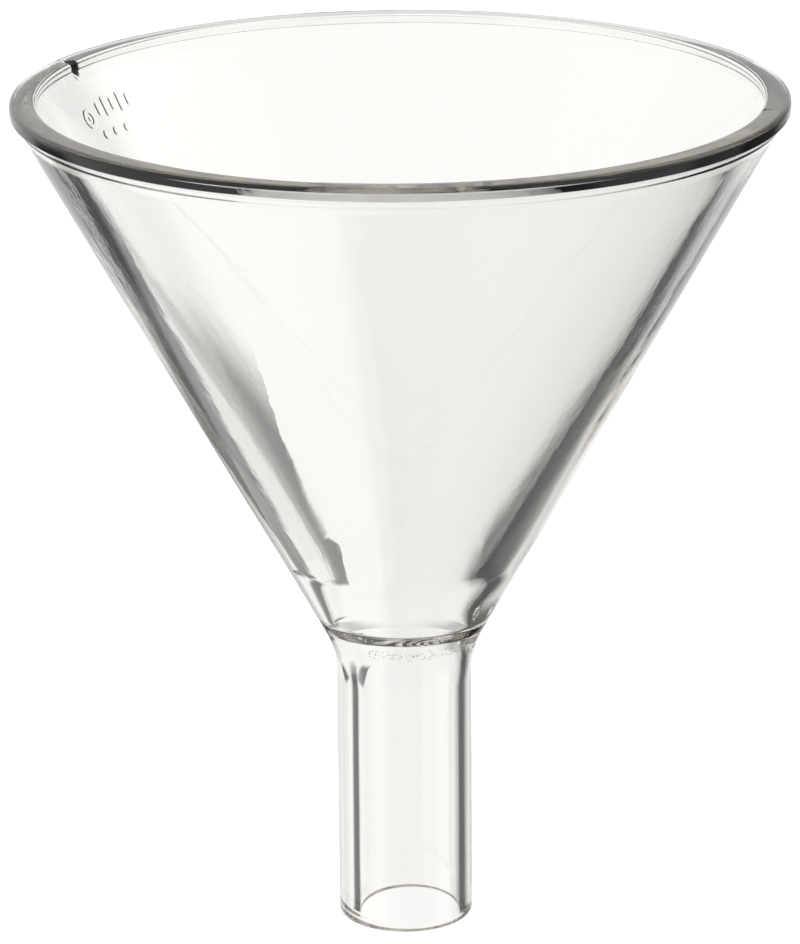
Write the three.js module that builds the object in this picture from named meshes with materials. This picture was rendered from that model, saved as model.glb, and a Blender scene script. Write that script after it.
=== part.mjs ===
// Wide-stem powder funnel in clear borosilicate glass, 100 mm across the rim.
//
// Two glass components, sealed to each other in the flame:
//   pressed_cone  the cone, with its beaded rim and the upper part of the neck
//   stem_tube     the short, wide, open tube below the seal
//
// Frame: millimetres, +Z up along the funnel's axis, origin at the centre of the stem's lower end.

import * as THREE from 'three';

// ---- driving dimensions (mm and degrees) ----

const RIM_DIAMETER = 100;
const TOTAL_HEIGHT = 113.5;

const OUTER_HALF_ANGLE = 28.65;
const INNER_HALF_ANGLE = 30;       // a 60 degree cone, so its wall thickens towards the neck
const RIM_WALL = 3.15;             // level thickness of the cone's wall below the bead

const BEAD_HEIGHT = 1.8;
const BEAD_LIP = 0.55;             // how far the bead stands out from the cone below it
const BEAD_TOP_ROUND = 0.7;
const BEAD_LOWER_ROUND = 0.3;
const MOUTH_DIAMETER = 93.2;       // the bead's upright inner face
const MOUTH_ROUND = 0.6;

const BOWL_DIAMETER = 23;          // where the inner cone steepens into the bowl above the neck
const BOWL_ROUND = 10;
const SHOULDER_DIAMETER = 18;      // foot of the bowl, where the sloping shoulder starts
const SHOULDER_HEIGHT = 43.2;
const SHOULDER_ROUND = 2.2;
const SHOULDER_DROP = 1.6;         // fall of the shoulder to the edge of the bore
const THROAT_ROUND = 0.4;

const STEM_DIAMETER = 18;
const STEM_BORE = 13.6;
const STEM_END_ROUND = 0.5;        // fire-polished edges of the open end
const NECK_ROUND = 14;             // outer sweep from stem to cone

const SEAL_HEIGHT = 39.5;          // flame seal, measured up from the stem's end

const SEGMENTS = 72;
const ROUND_STEPS = 5;

// ---- derived values ----

const rimRadius = RIM_DIAMETER / 2;
const mouthRadius = MOUTH_DIAMETER / 2;
const stemRadius = STEM_DIAMETER / 2;
const boreRadius = STEM_BORE / 2;
const beadBottom = TOTAL_HEIGHT - BEAD_HEIGHT;

const radians = THREE.MathUtils.degToRad;
const point = (radius, height) => new THREE.Vector2(radius, height);

// a straight wall of the cone: the point where it passes a given radius
function coneLine(radius, halfAngle) {
  const slope = Math.tan(radians(halfAngle));
  return (r) => point(r, beadBottom + (r - radius) / slope);
}

const outerCone = coneLine(rimRadius - BEAD_LIP, OUTER_HALF_ANGLE);
const innerCone = coneLine(rimRadius - BEAD_LIP - RIM_WALL, INNER_HALF_ANGLE);

// the arc that rounds a corner between two straight runs
function roundedCorner(before, corner, after, radius) {
  const incoming = before.clone().sub(corner).normalize();
  const outgoing = after.clone().sub(corner).normalize();
  const half = Math.acos(incoming.dot(outgoing)) / 2;
  const middle = incoming.clone().add(outgoing).normalize();
  const centre = corner.clone().addScaledVector(middle, radius / Math.sin(half));
  const start = corner.clone().addScaledVector(incoming, radius / Math.tan(half)).sub(centre);
  const end = corner.clone().addScaledVector(outgoing, radius / Math.tan(half)).sub(centre);
  const turn = Math.atan2(start.cross(end), start.dot(end));
  const points = [];
  for (let i = 0; i <= ROUND_STEPS; i += 1) {
    points.push(start.clone().rotateAround(point(0, 0), (turn * i) / ROUND_STEPS).add(centre));
  }
  return points;
}

// a run of [corner, radius] pairs turned into points; its two ends stay sharp
function roundedRun(corners) {
  return corners.flatMap(([corner, radius], i) => {
    if (radius === 0) return [corner];
    return roundedCorner(corners[i - 1][0], corner, corners[i + 1][0], radius);
  });
}

// revolve a closed outline about the Z axis
function revolve(outline) {
  const geometry = new THREE.LatheGeometry([...outline, outline[0].clone()], SEGMENTS);
  return geometry.rotateX(Math.PI / 2);
}

// ---- the neck's sweep, shared by both components and cut by the seal ----

const neckSweep = roundedCorner(point(stemRadius, 0), outerCone(stemRadius),
  outerCone(rimRadius), NECK_ROUND);
const sealStep = neckSweep.findIndex((p) => p.y > SEAL_HEIGHT);
const below = neckSweep[sealStep - 1];
const above = neckSweep[sealStep];
const sealEdge = below.clone().lerp(above, (SEAL_HEIGHT - below.y) / (above.y - below.y));

// ---- sub-parts ----

function clearGlass(colour) {
  return new THREE.MeshStandardMaterial({
    color: colour,
    roughness: 0.03,
    metalness: 0,
    transparent: true,
    opacity: 0.35,
  });
}

function pressedCone() {
  const inside = roundedRun([
    [point(rimRadius - BEAD_LIP, beadBottom), 0],
    [point(rimRadius, beadBottom), BEAD_LOWER_ROUND],
    [point(rimRadius, TOTAL_HEIGHT), BEAD_TOP_ROUND],
    [point(mouthRadius, TOTAL_HEIGHT), BEAD_TOP_ROUND],
    [innerCone(mouthRadius), MOUTH_ROUND],
    [innerCone(BOWL_DIAMETER / 2), BOWL_ROUND],
    [point(SHOULDER_DIAMETER / 2, SHOULDER_HEIGHT), SHOULDER_ROUND],
    [point(boreRadius, SHOULDER_HEIGHT - SHOULDER_DROP), THROAT_ROUND],
    [point(boreRadius, SEAL_HEIGHT), 0],
  ]);
  const outline = [sealEdge, ...neckSweep.slice(sealStep), ...inside];
  const mesh = new THREE.Mesh(revolve(outline), clearGlass(0xe9efec));
  mesh.name = 'pressed_cone';
  return mesh;
}

function stemTube() {
  const end = roundedRun([
    [point(boreRadius, SEAL_HEIGHT), 0],
    [point(boreRadius, 0), STEM_END_ROUND],
    [point(stemRadius, 0), STEM_END_ROUND],
    [neckSweep[0], 0],
  ]);
  const outline = [...end, ...neckSweep.slice(1, sealStep), sealEdge];
  const mesh = new THREE.Mesh(revolve(outline), clearGlass(0xeef2f0));
  mesh.name = 'stem_tube';
  return mesh;
}

const group = new THREE.Group();
group.add(pressedCone(), stemTube());

export default group;
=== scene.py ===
"""Studio view of the wide-stem glass powder funnel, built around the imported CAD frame."""
import math

import bpy
import numpy as np
from mathutils import Matrix, Vector


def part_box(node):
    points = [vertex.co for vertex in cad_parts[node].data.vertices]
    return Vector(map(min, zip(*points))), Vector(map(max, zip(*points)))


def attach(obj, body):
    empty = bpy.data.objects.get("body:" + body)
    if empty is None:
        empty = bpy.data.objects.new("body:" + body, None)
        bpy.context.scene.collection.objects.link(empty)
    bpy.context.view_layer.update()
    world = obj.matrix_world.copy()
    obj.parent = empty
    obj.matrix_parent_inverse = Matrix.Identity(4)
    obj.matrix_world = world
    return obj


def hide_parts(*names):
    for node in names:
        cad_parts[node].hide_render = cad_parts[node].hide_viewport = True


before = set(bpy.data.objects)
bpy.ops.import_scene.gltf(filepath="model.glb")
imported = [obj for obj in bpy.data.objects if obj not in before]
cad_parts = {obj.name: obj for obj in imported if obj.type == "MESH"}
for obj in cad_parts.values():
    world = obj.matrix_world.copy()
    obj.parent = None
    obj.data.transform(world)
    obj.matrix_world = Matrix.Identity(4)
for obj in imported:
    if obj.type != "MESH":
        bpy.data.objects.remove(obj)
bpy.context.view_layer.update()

MM = 0.001

# ---- dimensions, in metres, from the frame where the frame has them ----

cone_low, cone_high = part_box("pressed_cone")
stem_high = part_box("stem_tube")[1]
RIM_RADIUS = (cone_high[0] - cone_low[0]) / 2
HEIGHT = cone_high[2]
SEAL_HEIGHT = stem_high[2]

OUTER_HALF_ANGLE = math.radians(28.65)
INNER_HALF_ANGLE = math.radians(30)
RIM_WALL = 3.15 * MM
BEAD_HEIGHT = 1.8 * MM
BEAD_LIP = 0.55 * MM
BEAD_TOP_ROUND = 0.7 * MM
BEAD_LOWER_ROUND = 0.3 * MM
MOUTH_RADIUS = 46.6 * MM
MOUTH_ROUND = 0.6 * MM
BOWL_RADIUS = 11.5 * MM
BOWL_ROUND = 10 * MM
SHOULDER_RADIUS = 9 * MM
SHOULDER_HEIGHT = 43.2 * MM
SHOULDER_ROUND = 2.2 * MM
SHOULDER_DROP = 1.6 * MM
THROAT_ROUND = 0.4 * MM
STEM_RADIUS = 9 * MM
BORE_RADIUS = 6.8 * MM
BORE_OFFSET = 0.35 * MM
END_ROUND = 0.5 * MM
NECK_ROUND = 14 * MM
RIDGE_DROP = 1.0 * MM
RIDGE_HEIGHT = 0.07 * MM

# how finely the outline is cut: steps in each rounded corner, and gaps along the straight runs
ROUND_STEPS = 16
POINT_GAP = 0.9 * MM
FINE_GAP = 0.2 * MM

# small features of this piece of glass: angles in degrees round the axis, 0 at the viewer's right
MARK_ANGLE = 151
MARK_HEIGHT = 104.5 * MM
MARK_RISE = 0.14 * MM
MARK_LINE = 0.28 * MM
NOTCH_ANGLE = 157
NOTCH_DEPTH = 0.9 * MM
NOTCH_DROP = 0.35 * MM
NICK_ANGLE = 346
NICK_DEPTH = 0.3 * MM
NICK_DROP = 0.12 * MM
LUMP_ANGLE = -18
LUMP_HEIGHT = 46 * MM
LUMP_RISE = 0.55 * MM
BLISTER_ANGLE = -20
BLISTER_HEIGHT = 44.8 * MM
SEED_ANGLES = (-118, -22)
SEED_COUNT = 220

# The funnel's features, the camera and the studio are turned together about +Z by this angle.
# The funnel is round, so its own shape is the same; the other views then face lit panels.
VIEW_AZIMUTH = math.radians(-30)

bead_bottom = HEIGHT - BEAD_HEIGHT


def cone_point(radius, at_bead, half_angle):
    """Where a straight wall of the cone passes a radius, from its radius at the bead's foot."""
    return (radius, bead_bottom + (radius - at_bead) / math.tan(half_angle))


def outer_cone(radius):
    return cone_point(radius, RIM_RADIUS - BEAD_LIP, OUTER_HALF_ANGLE)


def outer_radius(height):
    return RIM_RADIUS - BEAD_LIP + (height - bead_bottom) * math.tan(OUTER_HALF_ANGLE)


def inner_cone(radius):
    return cone_point(radius, RIM_RADIUS - BEAD_LIP - RIM_WALL, INNER_HALF_ANGLE)


def rounded_corner(before, corner, after, radius):
    """The arc that rounds a corner between two straight runs."""
    corner = Vector(corner)
    incoming = (Vector(before) - corner).normalized()
    outgoing = (Vector(after) - corner).normalized()
    half = incoming.angle(outgoing) / 2
    centre = corner + (incoming + outgoing).normalized() * radius / math.sin(half)
    start = corner + incoming * radius / math.tan(half) - centre
    end = corner + outgoing * radius / math.tan(half) - centre
    turn = math.atan2(start.cross(end), start.dot(end))
    points = []
    for step in range(ROUND_STEPS + 1):
        angle = turn * step / ROUND_STEPS
        points.append((centre.x + start.x * math.cos(angle) - start.y * math.sin(angle),
                       centre.y + start.x * math.sin(angle) + start.y * math.cos(angle)))
    return points


def outline():
    """The closed outline (r, z), outside going up first, and which point starts the inside."""
    shoulder_foot = (BORE_RADIUS, SHOULDER_HEIGHT - SHOULDER_DROP)
    ridge = outer_radius(bead_bottom - RIDGE_DROP)
    outside = [
        ((STEM_RADIUS, 0), END_ROUND),
        (outer_cone(STEM_RADIUS), NECK_ROUND),
        (outer_cone(outer_radius(MARK_HEIGHT - 5 * MM)), 0),
        (outer_cone(outer_radius(MARK_HEIGHT + 5 * MM)), 0),
        (outer_cone(ridge - RIDGE_HEIGHT), 0),
        ((ridge + RIDGE_HEIGHT, bead_bottom - RIDGE_DROP), 0),
        (outer_cone(ridge + RIDGE_HEIGHT), 0),
        ((RIM_RADIUS - BEAD_LIP, bead_bottom), 0),
        ((RIM_RADIUS, bead_bottom), BEAD_LOWER_ROUND),
        ((RIM_RADIUS, HEIGHT), BEAD_TOP_ROUND),
    ]
    inside = [
        ((MOUTH_RADIUS, HEIGHT), BEAD_TOP_ROUND),
        (inner_cone(MOUTH_RADIUS), MOUTH_ROUND),
        (inner_cone(BOWL_RADIUS), BOWL_ROUND),
        ((SHOULDER_RADIUS, SHOULDER_HEIGHT), SHOULDER_ROUND),
        (shoulder_foot, THROAT_ROUND),
        ((BORE_RADIUS, 0), END_ROUND),
    ]
    corners = outside + inside
    points = []
    inside_start = 0
    for index, (corner, radius) in enumerate(corners):
        before = corners[index - 1][0]
        after = corners[(index + 1) % len(corners)][0]
        bend = rounded_corner(before, corner, after, radius) if radius else [corner]
        if points:
            # straight runs are cut into short steps, so that the walls can be given their waviness
            run = math.dist(points[-1], bend[0])
            middle = (points[-1][1] + bend[0][1]) / 2
            at_mark = index < len(outside) and abs(middle - MARK_HEIGHT) < 1 * MM
            steps = max(1, round(run / (FINE_GAP if at_mark else POINT_GAP)))
            points += [tuple(np.array(points[-1]) + (np.array(bend[0]) - points[-1]) * i / steps)
                       for i in range(1, steps)]
        if index == len(outside):
            inside_start = len(points)
        points += bend
    return np.array(points), inside_start


def bell(value, centre, width):
    """A smooth bump of height 1."""
    return np.exp(-((value - centre) / width) ** 2)


def ramp(value, low, high):
    t = np.clip((value - low) / (high - low), 0, 1)
    return t * t * (3 - 2 * t)


def waviness(angle, height, inside):
    """The slight unevenness of pressed walls, mostly as streaks that run down the cone."""
    turn = np.radians(angle)
    rise = height / HEIGHT * 2 * np.pi
    outer = (0.045 * np.sin(3 * turn + 1.1 + 0.6 * rise) + 0.03 * np.sin(8 * turn - 0.9 * rise)
             + 0.004 * np.sin(19 * turn + 1.7 * rise + 2) + 0.001 * np.sin(31 * turn - 4 * rise))
    inner = (0.05 * np.sin(2 * turn + 0.4 - 0.8 * rise) + 0.035 * np.sin(7 * turn + 2.2 + 0.5 * rise)
             + 0.005 * np.sin(17 * turn - 2.3 * rise) + 0.001 * np.sin(37 * turn + 5 * rise))
    on_cone = ramp(height, 44 * MM, 56 * MM) * (1 - ramp(height, HEIGHT - 8 * MM, HEIGHT - 3 * MM))
    return np.where(inside, inner, outer) * on_cone * MM


def moulded_mark(angle, height):
    """A small raised mark: a dotted ring, a row of bars and three circles, 0 to 1 where raised."""
    across = np.radians(angle - MARK_ANGLE) * outer_radius(MARK_HEIGHT)
    up = (height - MARK_HEIGHT) / math.cos(OUTER_HALF_ANGLE)
    from_ring = np.hypot(across - 5.2 * MM, up - 0.8 * MM)
    far = np.abs(from_ring - 1.1 * MM)
    far = np.minimum(far, from_ring)
    for step, bar in enumerate((-5.2, -3.4, -1.6, 0.2, 2.0)):
        reach = (1.1 if step % 2 else 0.6) * MM
        far = np.minimum(far, np.hypot(across - bar * MM, np.maximum(np.abs(up - 1.6 * MM) - reach, 0)))
    for circle in (-2.6, 0.2, 3.0):
        far = np.minimum(far, np.abs(np.hypot(across - circle * MM, up + 2.0 * MM) - 0.3 * MM))
    return 1 - ramp(far, MARK_LINE * 0.6, MARK_LINE * 1.6)


def bubble(centre, radii, first):
    """A closed air cavity in the glass: its vertices and faces, numbered from first."""
    rings, sides = 6, 10
    vertices = [(centre[0], centre[1], centre[2] + radii[2])]
    for ring in range(1, rings):
        tilt = math.pi * ring / rings
        for side in range(sides):
            turn = 2 * math.pi * side / sides
            vertices.append((centre[0] + radii[0] * math.sin(tilt) * math.cos(turn),
                             centre[1] + radii[1] * math.sin(tilt) * math.sin(turn),
                             centre[2] + radii[2] * math.cos(tilt)))
    vertices.append((centre[0], centre[1], centre[2] - radii[2]))
    last = len(vertices) - 1
    faces = []
    for side in range(sides):
        after = (side + 1) % sides
        faces.append((first, first + 1 + after, first + 1 + side))
        faces.append((first + last, first + last - sides + side, first + last - sides + after))
        for ring in range(rings - 2):
            upper = first + 1 + ring * sides
            lower = upper + sides
            faces.append((upper + side, upper + after, lower + after, lower + side))
    return vertices, faces


def place_at(angle, radius, height):
    turn = math.radians(angle)
    return (radius * math.cos(turn), radius * math.sin(turn), height)


def bubbles():
    """Centre and radii of each bubble: the seeds along the flame seal, and one large blister."""
    random = np.random.default_rng(4)
    found = [(place_at(BLISTER_ANGLE, 11.2 * MM, BLISTER_HEIGHT), (0.7 * MM, 0.7 * MM, 1.0 * MM))]
    for _ in range(SEED_COUNT):
        angle = random.uniform(*SEED_ANGLES)
        height = SEAL_HEIGHT + random.normal(0.6, 0.4) * MM
        radius = STEM_RADIUS + random.uniform(0.55, 0.85) * MM
        size = random.uniform(0.04, 0.1) * MM
        found.append((place_at(angle, radius, height), (size, size, size)))
    return found


def spin_angles():
    """Even steps all round in degrees, with finer ones at the mark, the notch and the nick."""
    even = np.arange(0, 360, 1.0)
    mark = np.arange(140, 163, 0.25)
    nick = np.arange(343, 349, 0.25)
    return np.unique(np.concatenate([even, mark, nick]))


def funnel_mesh():
    """One closed glass body, spun from the outline, with its uneven walls, marks and bubbles."""
    points, inside_start = outline()
    angles = spin_angles()
    count, around = len(points), len(angles)
    angle = np.tile(angles, (count, 1))
    height = np.tile(points[:, 1][:, None], (1, around))
    radius = np.tile(points[:, 0][:, None], (1, around))
    inside = np.tile((np.arange(count) >= inside_start)[:, None], (1, around))

    radius += waviness(angle, height, inside)
    on_outer_wall = ~inside & (abs(height - MARK_HEIGHT) < 4 * MM)
    radius += MARK_RISE * moulded_mark(angle, height) * on_outer_wall
    lump = bell((angle + 180) % 360 - 180, LUMP_ANGLE, 24) * bell(height, LUMP_HEIGHT, 2.6 * MM)
    radius -= LUMP_RISE * lump * inside
    # the notch and the nick in the inner edge of the rim
    lip = inside * ramp(height, HEIGHT - 2.6 * MM, HEIGHT - 1.2 * MM)
    notch = bell(angle, NOTCH_ANGLE, 0.75)
    nick = bell(angle, NICK_ANGLE, 0.35)
    radius += (NOTCH_DEPTH * notch + NICK_DEPTH * nick) * lip
    drop = NOTCH_DROP * notch + NICK_DROP * nick
    height = height - drop * lip * ramp(height, HEIGHT - 0.6 * MM, HEIGHT)

    turn = np.radians(angle)
    x = radius * np.cos(turn)
    y = radius * np.sin(turn)
    # the drawn tube's bore lies a little off the centre
    x += BORE_OFFSET * (1 - ramp(height, SEAL_HEIGHT - 4 * MM, SEAL_HEIGHT + 2 * MM)) * inside
    vertices = np.stack([x, y, height], -1).reshape(-1, 3).tolist()
    grid = np.arange(count * around).reshape(count, around)
    right = np.roll(grid, -1, 1)
    faces = np.stack([grid, right, np.roll(right, -1, 0), np.roll(grid, -1, 0)], -1)
    faces = faces.reshape(-1, 4).tolist()
    for centre, radii in bubbles():
        more_vertices, more_faces = bubble(centre, radii, len(vertices))
        vertices += more_vertices
        faces += more_faces

    mesh = bpy.data.meshes.new("funnel_glass")
    mesh.from_pydata(vertices, [], faces)
    mesh.transform(Matrix.Rotation(VIEW_AZIMUTH, 4, "Z"))
    mesh.polygons.foreach_set("use_smooth", [True] * len(mesh.polygons))
    mesh.update()
    return mesh


def glass_material():
    material = bpy.data.materials.new("clear_borosilicate_glass")
    material.use_nodes = True
    tree = material.node_tree
    shader = tree.nodes["Principled BSDF"]
    shader.inputs["Base Color"].default_value = (1, 1, 1, 1)
    shader.inputs["Transmission Weight"].default_value = 1
    shader.inputs["IOR"].default_value = 1.474
    shader.inputs["Roughness"].default_value = 0
    # fine streaks left by pressing and drawing, far longer than they are wide
    place = tree.nodes.new("ShaderNodeTexCoord")
    stretch = tree.nodes.new("ShaderNodeMapping")
    stretch.inputs["Scale"].default_value = (1, 1, 0.1)
    tree.links.new(place.outputs["Object"], stretch.inputs["Vector"])
    streaks = tree.nodes.new("ShaderNodeTexNoise")
    streaks.inputs["Scale"].default_value = 260
    streaks.inputs["Detail"].default_value = 3
    tree.links.new(stretch.outputs[0], streaks.inputs["Vector"])
    bump = tree.nodes.new("ShaderNodeBump")
    bump.inputs["Strength"].default_value = 0.07
    bump.inputs["Distance"].default_value = 0.25 * MM
    tree.links.new(streaks.outputs[0], bump.inputs["Height"])
    tree.links.new(bump.outputs[0], shader.inputs["Normal"])
    # the faint warm gray of thick glass, seen only along the rim and the thick neck
    body = tree.nodes.new("ShaderNodeVolumeAbsorption")
    body.inputs["Color"].default_value = (0.3, 0.26, 0.14, 1)
    body.inputs["Density"].default_value = 11
    tree.links.new(body.outputs[0], tree.nodes["Material Output"].inputs["Volume"])
    return material


def build_funnel():
    glass = bpy.data.objects.new("funnel_glass", funnel_mesh())
    bpy.context.scene.collection.objects.link(glass)
    glass.data.materials.append(glass_material())
    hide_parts("pressed_cone", "stem_tube")
    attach(glass, "root")
    return glass


# ---- studio ----

def build_floor():
    mesh = bpy.data.meshes.new("studio_floor")
    half = 3.0
    mesh.from_pydata([(-half, -half, 0), (half, -half, 0), (half, half, 0), (-half, half, 0)],
                     [], [(0, 1, 2, 3)])
    floor = bpy.data.objects.new("studio_floor", mesh)
    bpy.context.scene.collection.objects.link(floor)
    material = bpy.data.materials.new("pale_floor")
    material.use_nodes = True
    shader = material.node_tree.nodes["Principled BSDF"]
    shader.inputs["Base Color"].default_value = (0.9, 0.9, 0.9, 1)
    shader.inputs["Roughness"].default_value = 0.9
    shader.inputs["Emission Color"].default_value = (1, 1, 1, 1)
    shader.inputs["Emission Strength"].default_value = 0.75
    mesh.materials.append(material)
    floor.visible_transmission = False
    floor.visible_glossy = False
    return floor


def build_painted_shade():
    """A soft-edged dark sheet on the table behind the funnel's left: painted shade with a faint painted
    glow, seen only through the glass.
    """
    mesh = bpy.data.meshes.new("painted_shade_sheet")
    lift = 0.5
    corners = [(-98, 70, lift), (-38, 70, lift), (-50, 225, lift), (-118, 225, lift)]
    mesh.from_pydata([Vector(corner) * MM for corner in corners], [], [(0, 1, 2, 3)])
    shade_sheet = bpy.data.objects.new("painted_shade_sheet", mesh)
    shade_sheet.rotation_euler.z = VIEW_AZIMUTH
    bpy.context.scene.collection.objects.link(shade_sheet)
    material = bpy.data.materials.new("painted_shade_material")
    material.use_nodes = True
    tree = material.node_tree
    shader = tree.nodes["Principled BSDF"]
    # painted shade: a near-black surface whose faint painted glow sets how dark it looks through the
    # glass
    shader.inputs["Base Color"].default_value = (0.02, 0.02, 0.02, 1)
    shader.inputs["Specular IOR Level"].default_value = 0
    shader.inputs["Roughness"].default_value = 1
    shader.inputs["Emission Color"].default_value = (1, 0.98, 0.95, 1)
    shader.inputs["Emission Strength"].default_value = 0.1
    place = tree.nodes.new("ShaderNodeTexCoord")
    split = tree.nodes.new("ShaderNodeSeparateXYZ")
    tree.links.new(place.outputs["Object"], split.inputs[0])
    # the painted shade fades out at its four sides: right, left, near and far, from place to place in
    # mm
    solid = 1.0
    sides = (("X", -46, -41), ("X", -64, -92), ("Y", 92, 74), ("Y", 140, 220))
    for axis, solid_at, clear_at in sides:
        fade = tree.nodes.new("ShaderNodeMapRange")
        fade.interpolation_type = "SMOOTHSTEP"
        fade.inputs["From Min"].default_value = solid_at * MM
        fade.inputs["From Max"].default_value = clear_at * MM
        tree.links.new(split.outputs[axis], fade.inputs["Value"])
        mix = tree.nodes.new("ShaderNodeMix")
        tree.links.new(fade.outputs["Result"], mix.inputs["Factor"])
        if isinstance(solid, float):
            mix.inputs["A"].default_value = solid
        else:
            tree.links.new(solid, mix.inputs["A"])
        mix.inputs["B"].default_value = 0
        solid = mix.outputs["Result"]
    tree.links.new(solid, shader.inputs["Alpha"])
    mesh.materials.append(material)
    shade_sheet.visible_camera = False
    shade_sheet.visible_diffuse = False
    shade_sheet.visible_shadow = False
    return shade_sheet


# Soft panels of the studio round the funnel, painted in this order over the room's level.
# Each one: azimuth from and to, measured clockwise from straight behind the funnel,
# elevation from and to, softness of its upright and level edges, in degrees, and light level.
ROOM_LEVEL = 0.4
PANELS = {
    "ceiling": (-200, 200, 40, 95, 6, 6, 0.95),
    "upper_wall": (-200, 14, 8, 40, 12, 8, 0.95),
    "table_left": (-150, -34, -95, -29, 4, 3, 0.95),
    "table_middle": (-34, 14, -95, -29, 6, 3, 0.55),
    "table_edge": (-38, -20, -44, -34, 3, 2, 0.95),
    "table_rear": (-200, -142, -95, -28, 6, 4, 0.15),
    "table_right": (22, 200, -95, -30, 6, 3, 0.1),
    "backdrop": (-84, 25, -29, 16, 9, 3, 0.95),
    "table_gap": (-44, -13, -35, -27, 3, 1.5, 0.12),
    "table_gap_low": (-29.5, -19, -41, -34, 2, 2, 0.15),
    "left_flag": (-67, -46, -30, -12, 5, 4, 0.1),
    "right_dark": (36, 64, -30, 30, 5, 5, 0.1),
    "right_fill": (66, 145, -32, 2, 5, 5, 0.35),
    "right_window": (56, 145, 10, 40, 8, 8, 1.3),
    "left_key": (-145, -72, -30, 40, 5, 4, 1.08),
    "rear_card": (88, 122, -36, 4, 6, 6, 0.85),
}
STUDIO_STRENGTH = 1.06


def build_world():
    world = bpy.data.worlds.new("soft_studio")
    bpy.context.scene.world = world
    world.use_nodes = True
    tree = world.node_tree
    nodes, links = tree.nodes, tree.links

    def math_node(operation, first, second=None):
        node = nodes.new("ShaderNodeMath")
        node.operation = operation
        for socket, value in zip(node.inputs, (first, second)):
            if isinstance(value, (int, float)):
                socket.default_value = value
            elif value is not None:
                links.new(value, socket)
        return node.outputs[0]

    def edge(angle, place, softness):
        """0 before the place and 1 after it, with a soft edge."""
        step = nodes.new("ShaderNodeMapRange")
        step.interpolation_type = "SMOOTHSTEP"
        step.inputs["From Min"].default_value = place - softness
        step.inputs["From Max"].default_value = place + softness
        links.new(angle, step.inputs["Value"])
        return step.outputs["Result"]

    def window(angle, low, high, softness):
        return math_node("SUBTRACT", edge(angle, low, softness), edge(angle, high, softness))

    where = nodes.new("ShaderNodeTexCoord")
    spin = nodes.new("ShaderNodeVectorRotate")
    spin.rotation_type = "Z_AXIS"
    spin.inputs["Angle"].default_value = -VIEW_AZIMUTH
    links.new(where.outputs["Generated"], spin.inputs["Vector"])
    split = nodes.new("ShaderNodeSeparateXYZ")
    links.new(spin.outputs[0], split.inputs[0])
    azimuth = math_node("DEGREES", math_node("ARCTAN2", split.outputs["X"], split.outputs["Y"]))
    elevation = math_node("DEGREES", math_node("ARCSINE", split.outputs["Z"]))

    level = ROOM_LEVEL
    for name, (left, right, bottom, top, side_soft, level_soft, brightness) in PANELS.items():
        mix = nodes.new("ShaderNodeMix")
        mix.label = name
        inside = math_node("MULTIPLY", window(azimuth, left, right, side_soft),
                           window(elevation, bottom, top, level_soft))
        links.new(inside, mix.inputs["Factor"])
        if isinstance(level, float):
            mix.inputs["A"].default_value = level
        else:
            links.new(level, mix.inputs["A"])
        mix.inputs["B"].default_value = brightness
        level = mix.outputs["Result"]
    studio = nodes["Background"]
    links.new(math_node("MULTIPLY", level, STUDIO_STRENGTH), studio.inputs["Strength"])
    studio.inputs["Color"].default_value = (1, 0.99, 0.975, 1)

    # the camera itself sees plain white behind the funnel
    plain = nodes.new("ShaderNodeBackground")
    plain.inputs["Color"].default_value = (1, 1, 1, 1)
    path = nodes.new("ShaderNodeLightPath")
    choose = nodes.new("ShaderNodeMixShader")
    links.new(path.outputs["Is Camera Ray"], choose.inputs[0])
    links.new(studio.outputs[0], choose.inputs[1])
    links.new(plain.outputs[0], choose.inputs[2])
    links.new(choose.outputs[0], nodes["World Output"].inputs["Surface"])


def build_camera():
    data = bpy.data.cameras.new("studio_camera")
    camera = bpy.data.objects.new("studio_camera", data)
    bpy.context.scene.collection.objects.link(camera)
    distance = 0.552
    rise_over_rim = 0.1299
    tilt = math.radians(18.173)
    roll = math.radians(-0.427)
    pan = math.radians(0.039)
    data.sensor_fit = "HORIZONTAL"
    data.sensor_width = 36
    data.lens = 198.5
    data.clip_end = 20
    turn = Matrix.Rotation(math.radians(90) - tilt, 4, "X") @ Matrix.Rotation(roll, 4, "Z")
    stand = Matrix.Translation((0, -distance, HEIGHT + rise_over_rim))
    place = Matrix.Rotation(VIEW_AZIMUTH, 4, "Z") @ stand
    camera.matrix_world = place @ Matrix.Rotation(pan, 4, "Z") @ turn
    bpy.context.scene.camera = camera
    return camera


build_camera()
build_funnel()
build_floor()
build_painted_shade()
build_world()

scene = bpy.context.scene
scene.view_settings.view_transform = "Standard"
scene.cycles.max_bounces = 20
scene.cycles.transmission_bounces = 20
scene.cycles.glossy_bounces = 20
scene.cycles.transparent_max_bounces = 16
